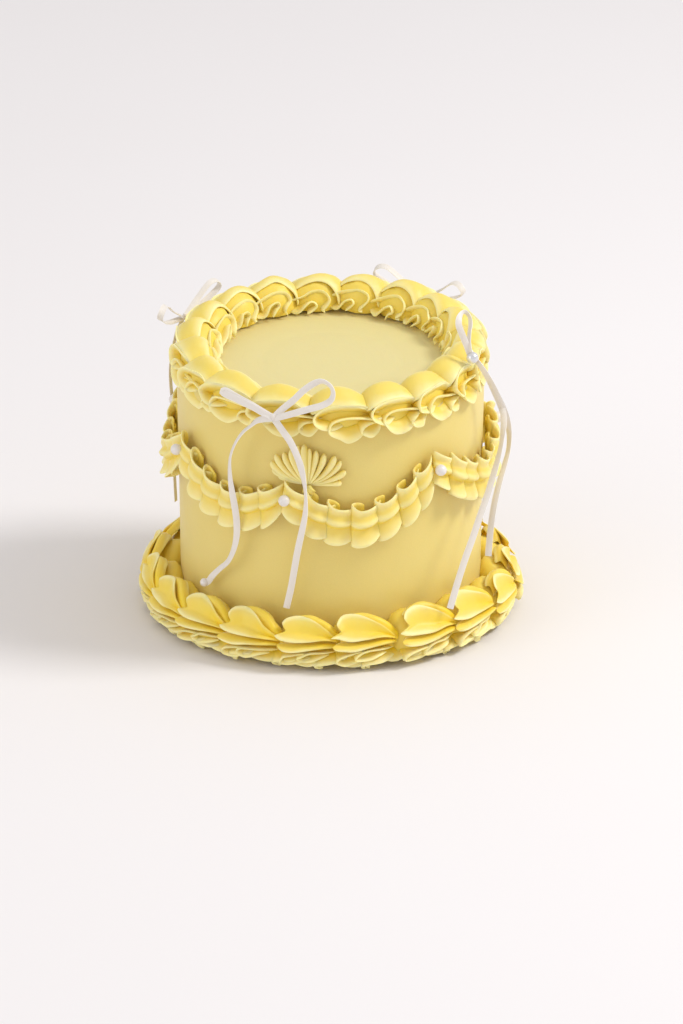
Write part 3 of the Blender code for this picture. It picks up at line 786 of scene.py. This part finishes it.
def makeSwag(index, draw):
    start, end = jointAt(index), jointAt((index + 1) % len(swag["sag"]))
    end = (end[0] + 360, end[1]) if end[0] < start[0] else end
    sag = swag["sag"][index]
    trim = math.degrees(swag["gap"] / cake["radius"])
    start, end = (start[0] + trim, start[1]), (end[0] - trim, end[1])
    shares = np.linspace(0, 1, swag["samples"])
    run = runAlong(swagLine(start, end, sag, shares))
    pleats = round(run[-1] / swag["pleat"])
    length = run[-1] / pleats * 1000
    stretch = length / swag["drawn"]

    # the folded line of the whole swag, which begins and ends within a pleat
    line = []
    for pleat in range(pleats):
        swell = 1 + draw.uniform(*swag["swell"])
        here = pleat * length + draw.uniform(-swag["wander"], swag["wander"]) * (pleat > 0)
        line += [(here + way * stretch, lift * swell, hang * swag["weigh"], rise)
                 for way, lift, hang, rise in swag["fold"]]
    way, lift, hang, rise = smoothRows(line[2:-1], pleats * swag["steps"]).T
    way, hang = way / 1000, hang / swag["weigh"]
    share = np.interp(way, run, shares) + np.minimum(way, 0) / run[-1]

    rows = np.linspace(0, 1, swag["rows"])
    factor = np.interp(rows, *zip(*swag["across"]))
    middle = swagLine(start, end, sag, share)
    before, after = share - swag["slopeStep"], share + swag["slopeStep"]
    slope = swagLine(start, end, sag, after) - swagLine(start, end, sag, before)
    margin, power = swag["level"]
    inside = np.sin(np.pi * np.clip(share, margin, 1 - margin)) ** power
    turn = np.arctan2(slope[:, 1], slope[:, 0]) * swag["tilt"] * inside
    across = np.stack([np.sin(turn), -np.cos(turn)], axis=-1)
    fromEnd = np.minimum(way, run[-1] - way) * 1000
    rise = rise * np.interp(fromEnd, *zip(*swag["endRise"]))
    width = swag["width"] * np.interp(fromEnd, *zip(*swag["endWidth"]))
    grid = np.empty((len(way), len(rows), 3))
    for step, row in enumerate(rows):
        down = width * (row - swag["above"]) - swag["rise"] * rise * (1 - row) ** swag["risePower"]
        down = down + swag["scallop"] * hang * row ** swag["scallopPower"]
        place = middle + across * down[:, None]
        out = wallRadius(place[:, 1]) + swag["off"] + lift * factor[step] / 1000
        grid[:, step] = onCake(np.degrees(place[:, 0] / cake["radius"]), out, place[:, 1])
    # painted shading across the sheet, and painted shade where a pleat lies low and tucks under the next
    paintedShading = np.interp(rows, *zip(*swag["shade"]))
    rings, near = thickSheet(grid, swag["half"], swag["half"], swag["taper"], paintedShading)
    tucked = np.interp(lift, *zip(*swag["tuck"]))
    piece = makePiece(f"swag{index + 1}", [(rings, near * tucked[:, None])], piped)
    standFor(piece, f"swag_{index + 1}")
    return len(piece.data.polygons)


draw = random.Random(swag["seed"])
print("swags piped:", sum(makeSwag(index, draw) for index in range(len(swag["sag"]))), "faces")


# Fan: petals that leave its foot low and bend up towards their tips

fan = {
    "angle": -8.0, "height": 0.0955, "gap": 0.0007, "wide": 0.00165, "tall": 0.0023, "rows": 22, "seed": 3,
    # each tip in mm to the right of the foot and above it
    "tips": (
        (16.3, 1.2), (-14.3, 3.9), (18.2, 7.4), (-17.5, 7.1), (16, 13), (-18.2, 10.7), (13.2, 15.8),
        (-16, 14.9), (8.2, 17), (-11.7, 16.6), (4.2, 18.6), (-8.2, 18.4), (0.8, 19.8), (-4.6, 21),
        (-1.6, 22)),
    # where a petal bends: shares of its tip's way, and of its height at the sides and the middle
    "bend": (0.78, 0.30, 0.52),
    # shares of wide and tall: at a petal's foot, gained towards its tip, and the gain's power
    "wideGrow": (0.30, 0.80, 0.8), "tallGrow": (0.55, 0.45, 1),
    # a petal's section: across it and out from the wall
    "section": (
        (-1, 0), (-0.85, 0.42), (-0.4, 0.74), (0.15, 0.96), (0.62, 1), (0.95, 0.72), (1.05, 0.25),
        (0.5, -0.1), (-0.5, -0.1)),
    # along a petal: its beginning, and where its tip starts to close, over how much and how far
    "begin": 0.02, "round": (0.76, 0.245, 0.004), "flatten": 0.7,
    "wideSpread": (0.82, 1.15), "tallSpread": (0.78, 1.2),
    # shade: a petal's painted shading, from painted shade where it lies low to a painted highlight on its raised
    # middle
    "layer": 0.00012, "tipLift": 0.0009, "shade": (0.60, 0.36),
    # the rolled ends under the foot: lean in degrees and reach in mm
    "curls": ((-28, 5.2), (-6, 6.4), (16, 5.0), (38, 4.2)),
    "curlSteps": (9, 10), "curlRadius": 0.0808, "curlThick": (0.0014, 0.00074), "curlLift": 0.0006,
    "curlFoot": 0.0005, "curlDrift": 0.6, "curlBend": 3, "curlShade": 0.7,
    "perDegree": 1.35,  # mm round the cake
    "perMetre": 15,  # radians, across a curl
}


def fanPetal(index, tip, draw):
    x, y = tip
    share = np.linspace(fan["begin"], 1, fan["rows"])[:, None]
    out, low, high = fan["bend"]
    middle = 1 - abs(x) / max(abs(side) for side, up in fan["tips"])
    bend = np.array([out * x, y * (low + (high - low) * middle)])
    path = 2 * share * (1 - share) * bend + share ** 2 * np.array([x, y])
    ahead = unitRows(np.gradient(path, axis=0))
    side = np.stack([ahead[:, 1], -ahead[:, 0]], axis=1) * (1 if x > 0 else -1)
    share = share[:, 0]
    start, run, least = fan["round"]
    close = np.sqrt(np.clip(1 - ((share - start) / run).clip(0, 1) ** 2, least, 1))
    foot, gain, power = fan["wideGrow"]
    wide = fan["wide"] * (foot + gain * share ** power) * close * draw.uniform(*fan["wideSpread"])
    foot, gain, power = fan["tallGrow"]
    tall = fan["tall"] * (foot + gain * share ** power) * draw.uniform(*fan["tallSpread"])
    tall = tall * close ** fan["flatten"]
    radius = wallRadius(fan["height"]) + fan["gap"] + fan["layer"] * index
    # painted shading: painted shade at a petal's low sides, a painted highlight on its raised middle
    valley, paintedShading = fan["shade"]
    rings, shade = [], []
    for over, lift in fan["section"]:
        place = path / 1000 + side * (over * wide)[:, None]
        angle = fan["angle"] + np.degrees(place[:, 0] / radius)
        rings.append(onCake(angle, radius + lift * tall + fan["tipLift"] * share, fan["height"] + place[:, 1]))
        shade.append(np.full_like(share, valley + paintedShading * max(lift, 0) ** 2))
    return np.stack(rings, axis=1), np.stack(shade, axis=1)


def fanCurl(lean, reach):
    # a small rolled end that hangs under the fan's foot
    rows, around = fan["curlSteps"]
    share = np.linspace(0, 1, rows)[:, None]
    turn = np.linspace(0, 2 * math.pi, around + 1)[:-1]
    thick = np.interp(share, (0, 1), fan["curlThick"])
    angle = fan["angle"] + (math.sin(math.radians(lean)) * reach + fan["curlDrift"]) * share / fan["perDegree"]
    angle = angle + np.degrees(thick * np.cos(turn) * fan["perMetre"])
    radius = fan["curlRadius"] + thick * np.sin(turn) + fan["curlLift"] * np.sin(share * fan["curlBend"])
    height = fan["height"] + fan["curlFoot"] - math.cos(math.radians(lean)) * reach * share / 1000
    rings = onCake(angle, radius, height)
    # the rolled ends get one painted shading value
    return rings, np.full(rings.shape[:2], fan["curlShade"])


def makeFan():
    draw = random.Random(fan["seed"])
    parts = [fanPetal(index, tip, draw) for index, tip in enumerate(fan["tips"])]
    piece = makePiece("fanPiece", parts + [fanCurl(lean, reach) for lean, reach in fan["curls"]], piped)
    standFor(piece, "fan")
    return len(piece.data.polygons)


print("fan piped:", makeFan(), "faces")


# Sugar pearls, each a ball that is slightly out of round

pearlSizes = {f"pearl_{index + 1}": 0.0029 for index in range(len(swag["sag"]))}
pearlSizes.update({"pearl_bow_right": 0.0030, "pearl_tail_front": 0.0022})
pearlShape = {"around": 36, "rings": 22, "spread": (0.985, 1.0), "dent": 0.02, "dentEdge": 6.0,
              "dentAt": (0.3, -0.8, 0.5)}


def makePearl(node, size):
    draw = random.Random(node)
    ball = bmesh.new()
    bmesh.ops.create_uvsphere(ball, u_segments=pearlShape["around"], v_segments=pearlShape["rings"], radius=1)
    spread = [draw.uniform(*pearlShape["spread"]) for _ in range(3)]
    middle, dentAt = Vector(middleOf(node)), Vector(pearlShape["dentAt"]).normalized()
    for vert in ball.verts:
        dent = 1 - pearlShape["dent"] * math.exp(-pearlShape["dentEdge"] * (vert.co - dentAt).length)
        vert.co = middle + Vector(value * part * size * dent for value, part in zip(vert.co, spread))
    mesh = bpy.data.meshes.new(node)
    ball.to_mesh(mesh)
    ball.free()
    piece = addObject(node.replace("_", "-"), mesh)
    finishMesh(piece, silver if node == "pearl_bow_right" else pearl)
    standFor(piece, node)


for node, size in pearlSizes.items():
    makePearl(node, size)
print("pearls set:", len(pearlSizes))


# Ribbons. A route is the photo's pixels with a radius from the cake's axis in mm and how far
# the ribbon is turned from facing the camera; at the back, places on the cake.

ribbon = {
    "width": 0.0033, "thick": 0.00045, "steps": 70,
    # the section: across in half widths, and out in thicknesses; it is cupped across its width
    "section": (
        (-1, -0.3), (-0.6, -0.5), (0, -0.5), (0.6, -0.5), (1, -0.3), (1, 0.3), (0.6, 0.5), (0, 0.5),
        (-0.6, 0.5), (-1, 0.3)),
    "cup": 0.06,
    "knot": 0.0017, "knotSides": 14, "knotRings": 9, "knotWaist": 0.72, "knotRound": 0.75,
}
frontBow = {
    "node": "bow_front", "knot": (273.2, 417.6, 88.2),
    "routes": {
        "loopRight": [
            (274, 417.4, 88.2, 20), (282, 409.5, 86.5, 5), (294, 399.7, 85.4, 0), (303.8, 390.4, 84.8, 8),
            (314.6, 383.4, 84.4, 25), (322.6, 381.6, 84.6, 50), (330.2, 386.4, 85.6, 60),
            (332.8, 393.4, 86.8, 50), (330.4, 400.4, 87.6, 30), (321.4, 405.6, 88.2, 12), (307, 409.6, 88.6, 5),
            (294, 413.2, 88.8, 8), (282, 416.4, 88.8, 20), (275, 418, 88.4, 25)],
        "loopLeft": [
            (272.4, 417, 88.2, 30), (264, 412.3, 88, 15), (254.4, 406.3, 87.6, 20), (244.6, 401, 87.2, 10),
            (234.6, 395.6, 87, 5), (226, 390.8, 87, 0), (222.4, 391.2, 87.6, 0), (225, 394, 88.4, 8),
            (234.6, 398.4, 88.6, 12), (244.6, 403.2, 88.8, 20), (254.4, 408.2, 88.8, 25),
            (264, 413.6, 88.6, 20), (272, 418, 88.4, 30)],
        "tailLeft": [
            (272.4, 418.2, 88.6, 20), (264, 418.8, 89, 12), (256.4, 420.6, 89, 40), (250.2, 425.6, 89, 64),
            (242.2, 432.4, 89, 66), (235.2, 442.4, 88.8, 70), (230.6, 454, 88.6, 72), (229.3, 464, 88.4, 66),
            (229.8, 477, 88, 52), (231.4, 489, 87.6, 34), (233.6, 501, 87.4, 16), (235.8, 514, 87, 6),
            (236.8, 525, 86.6, 10), (236.4, 536, 86.2, 22), (234.4, 546, 85.6, 36), (231.6, 554, 85, 44),
            (227, 562, 84.2, 46), (219, 569, 83.2, 40), (212, 576, 82.4, 30), (208.8, 580.6, 82, 20),
            (205.4, 583, 82, 15)],
        "tailRight": [
            (274, 419, 88.6, 20), (279, 426, 89.2, 10), (284.4, 433.4, 89.6, 0), (290, 441.4, 90, 5),
            (296.2, 454, 90, 0), (300.2, 465.4, 89.8, 12), (303, 478, 89.6, 44), (305, 492, 89.6, 66),
            (305.5, 505, 89.6, 56), (304.4, 518, 89.2, 38), (301.8, 531, 88.6, 24), (299, 544, 88, 14),
            (296.6, 556, 87.2, 8), (294.2, 570, 86.2, 4), (291, 588, 85, 0), (286.4, 608, 84, 0)],
    },
}
rightBow = {
    "node": "bow_right", "knot": (471.4, 353.6, 77.4),
    "routes": {
        "loop": [
            (469.6, 353, 78.6, 20), (467, 346, 78.2, 10), (462.6, 335.4, 77.6, 0), (459, 325.6, 76.8, 10),
            (459.6, 317.6, 76, 30), (464.2, 312.6, 75.6, 55), (469, 317, 76, 62), (470.2, 324, 76.8, 56),
            (469, 333, 77.6, 60), (468.4, 343, 78.4, 50), (469.4, 352, 78.8, 40)],
        "tailLong": [
            (472, 356, 77.6, 50), (477, 361.6, 81.2, 50), (483, 370, 84.2, 40), (488.6, 379, 85.6, 25),
            (494, 390, 86.6, 10), (499, 401, 88, 5), (502.6, 411, 90, 5), (503.8, 421, 92.4, 20),
            (502.6, 433, 94, 44), (500.6, 446, 94.2, 52), (497.4, 460, 94.2, 40), (492.6, 477, 94, 24),
            (487, 496, 94, 14), (480.4, 515, 94, 8), (472.6, 538, 94.4, 6), (464.4, 561, 95.2, 10),
            (456.8, 585, 96.2, 8), (450, 608.6, 97, 0)],
        "tailShort": [
            (472.4, 356.6, 78, 50), (478.6, 364, 81.6, 50), (485, 373, 84.6, 42), (491.4, 384, 86.4, 30),
            (497.6, 396.6, 88, 20), (503, 408, 90, 12), (507.2, 421, 91.6, 20), (509, 435, 92, 44),
            (508.2, 449, 92.2, 52), (504.8, 463, 92.4, 44), (499.6, 481, 92.6, 34), (495, 500, 92.8, 26),
            (491.6, 520, 93, 24), (489.4, 540, 93.2, 20), (488.2, 556, 93.6, 10)],
    },
}


def bandRings(middle, face):
    # a flat ribbon along a line, its face turned the way that is given, and its weave's map
    ahead = unitRows(np.gradient(middle, axis=0))
    face = unitRows(face - ahead * np.sum(face * ahead, axis=1, keepdims=True))
    side = np.cross(ahead, face)
    run = runAlong(middle)
    rings, weave = [], []
    for over, lift in ribbon["section"]:
        cup = -ribbon["cup"] * over ** 2 * ribbon["width"]
        rings.append(middle + side * over * ribbon["width"] / 2 + face * (lift * ribbon["thick"] + cup))
        weave.append(np.stack([run, np.full(len(run), over * 0.5 + 0.5)], axis=1))
    return np.stack(rings, axis=1), np.stack(weave, axis=1)


def routeRings(route):
    rows = smoothRows([(*seenAt(x, y, radius), turn) for x, y, radius, turn in route], ribbon["steps"])
    middle, turn = rows[:, :3], np.radians(rows[:, 3])
    ahead = unitRows(np.gradient(middle, axis=0))
    flat = unitRows(toCamera - ahead * (ahead @ toCamera)[:, None])
    side = np.cross(ahead, flat)
    return bandRings(middle, flat * np.cos(turn)[:, None] + side * np.sin(turn)[:, None])


def knotRings(middle):
    # the knot is a small roll of ribbon, fullest in its middle
    turn = np.linspace(0, 2 * math.pi, ribbon["knotSides"] + 1)[:-1]
    step = np.linspace(-1, 1, ribbon["knotRings"])[:, None]
    size = ribbon["knot"] * ribbon["knotWaist"] * np.sqrt(1 - ribbon["knotRound"] * step ** 2)
    rings = np.broadcast_arrays(size * np.cos(turn), size * np.sin(turn), step * ribbon["knot"])
    weave = np.broadcast_arrays(turn * ribbon["knot"], step * 0.5 + 0.5)
    return np.stack(rings, axis=-1) + middle, np.stack(weave, axis=-1)


def makeBow(node, bands):
    piece = looseMesh(node.replace("_", "-"), [rings for rings, weave in bands])
    finishMesh(piece, satin, 50)
    layer = piece.data.uv_layers.new(name="weave")
    corners = np.empty(len(piece.data.loops), int)
    piece.data.loops.foreach_get("vertex_index", corners)
    mapped = np.concatenate([weave.reshape(-1, 2) for rings, weave in bands])
    layer.data.foreach_set("uv", mapped[corners].reshape(-1))
    standFor(piece, node)


# The bows at the back have loops that show over the border and tails that hang to the
# foot: degrees from the knot, radius and height in mm, on one side of it
backBows = {
    "angles": {"bow_back_right": 148.0, "bow_back_left": 237.0}, "knot": (0.0885, 0.134),
    "loop": (
        (1, 88.6, 134.4), (7, 89, 140), (13, 88.5, 146.6), (16.6, 88.6, 145.6), (16.8, 89.4, 141.4),
        (9, 90, 135.4), (1, 89.2, 133.6)),
    "tail": ((1, 89, 133), (5, 89.5, 126), (9, 89.5, 110), (8, 89, 86), (9.6, 87.6, 60), (11, 85.8, 40)),
    "loopTip": 0.45,  # how far a loop's band tips up from lying on edge
}


def backRings(angle, hand, shape):
    middle = smoothRows([onCake(angle + turn * hand, radius / 1000, height / 1000)
                         for turn, radius, height in backBows[shape]], ribbon["steps"])
    outwards = unitRows(middle * np.array([1, 1, 0]))
    if shape == "loop":
        # a loop's band stands on edge, so that its turn shows
        ahead = unitRows(np.gradient(middle, axis=0))
        outwards = np.cross(ahead, unitRows(outwards + np.array([0, 0, backBows["loopTip"]])))
    return bandRings(middle, outwards)


for bow in (frontBow, rightBow):
    makeBow(bow["node"], [routeRings(route) for route in bow["routes"].values()] + [knotRings(seenAt(*bow["knot"]))])
for node, angle in backBows["angles"].items():
    bands = [backRings(angle, hand, shape) for hand in (-1, 1) for shape in ("loop", "tail")]
    makeBow(node, bands + [knotRings(onCake(angle, *backBows["knot"]))])
print("bows tied")


# Studio: camera, floor and lights

studio = {
    "floor": (0.855, 0.825, 0.825), "floorPale": (0.87, 0.845, 0.85), "cloud": 3.0,
    "span": 12.0, "below": 0.0002,  # half the floor's width, and how far it lies under the cake
    "sky": 0.71, "skyColour": (1.0, 0.985, 0.985),
    # place, size and watts
    "lamps": {"key": ((1.55, -0.12, 1.65), 0.6, 26.0), "fill": ((-1.9, -1.3, 0.8), 1.6, 10.0)},
    "lampAim": (0, 0, 0.08),
}


def lookAt(thing, place, aim):
    thing.location = place
    thing.rotation_euler = (Vector(aim) - Vector(place)).to_track_quat("-Z", "Y").to_euler()


def makeStudio():
    scene = bpy.context.scene
    scene.view_settings.view_transform = "Standard"
    lens = bpy.data.cameras.new("camera")
    lens.lens = view["focal"]
    lens.clip_end = view["farthest"]
    camera = addObject("camera", lens)
    lookAt(camera, cameraPlace, view["aim"])
    scene.camera = camera

    mesh = bpy.data.meshes.new("floor")
    span, low = studio["span"], -studio["below"]
    corners = ((-span, -span, low), (span, -span, low), (span, span, low), (-span, span, low))
    mesh.from_pydata(corners, [], [(0, 1, 2, 3)])
    floor = addObject("floor", mesh)
    paint = Finish("paleFloor", {"Roughness": 0.8, "Specular IOR Level": 0.2})
    paint.feed("Base Color", paint.mixColour(paint.noise(studio["cloud"]), studio["floor"], studio["floorPale"]))
    mesh.materials.append(paint.material)

    world = bpy.data.worlds.new("studio")
    world.use_nodes = True
    sky = world.node_tree.nodes["Background"]
    sky.inputs["Color"].default_value = (*studio["skyColour"], 1)
    sky.inputs["Strength"].default_value = studio["sky"]
    scene.world = world
    for name, (place, size, power) in studio["lamps"].items():
        lamp = bpy.data.lights.new(name, "AREA")
        lamp.energy, lamp.size = power, size
        lookAt(addObject(name, lamp), place, studio["lampAim"])


makeStudio()
print("studio lit")
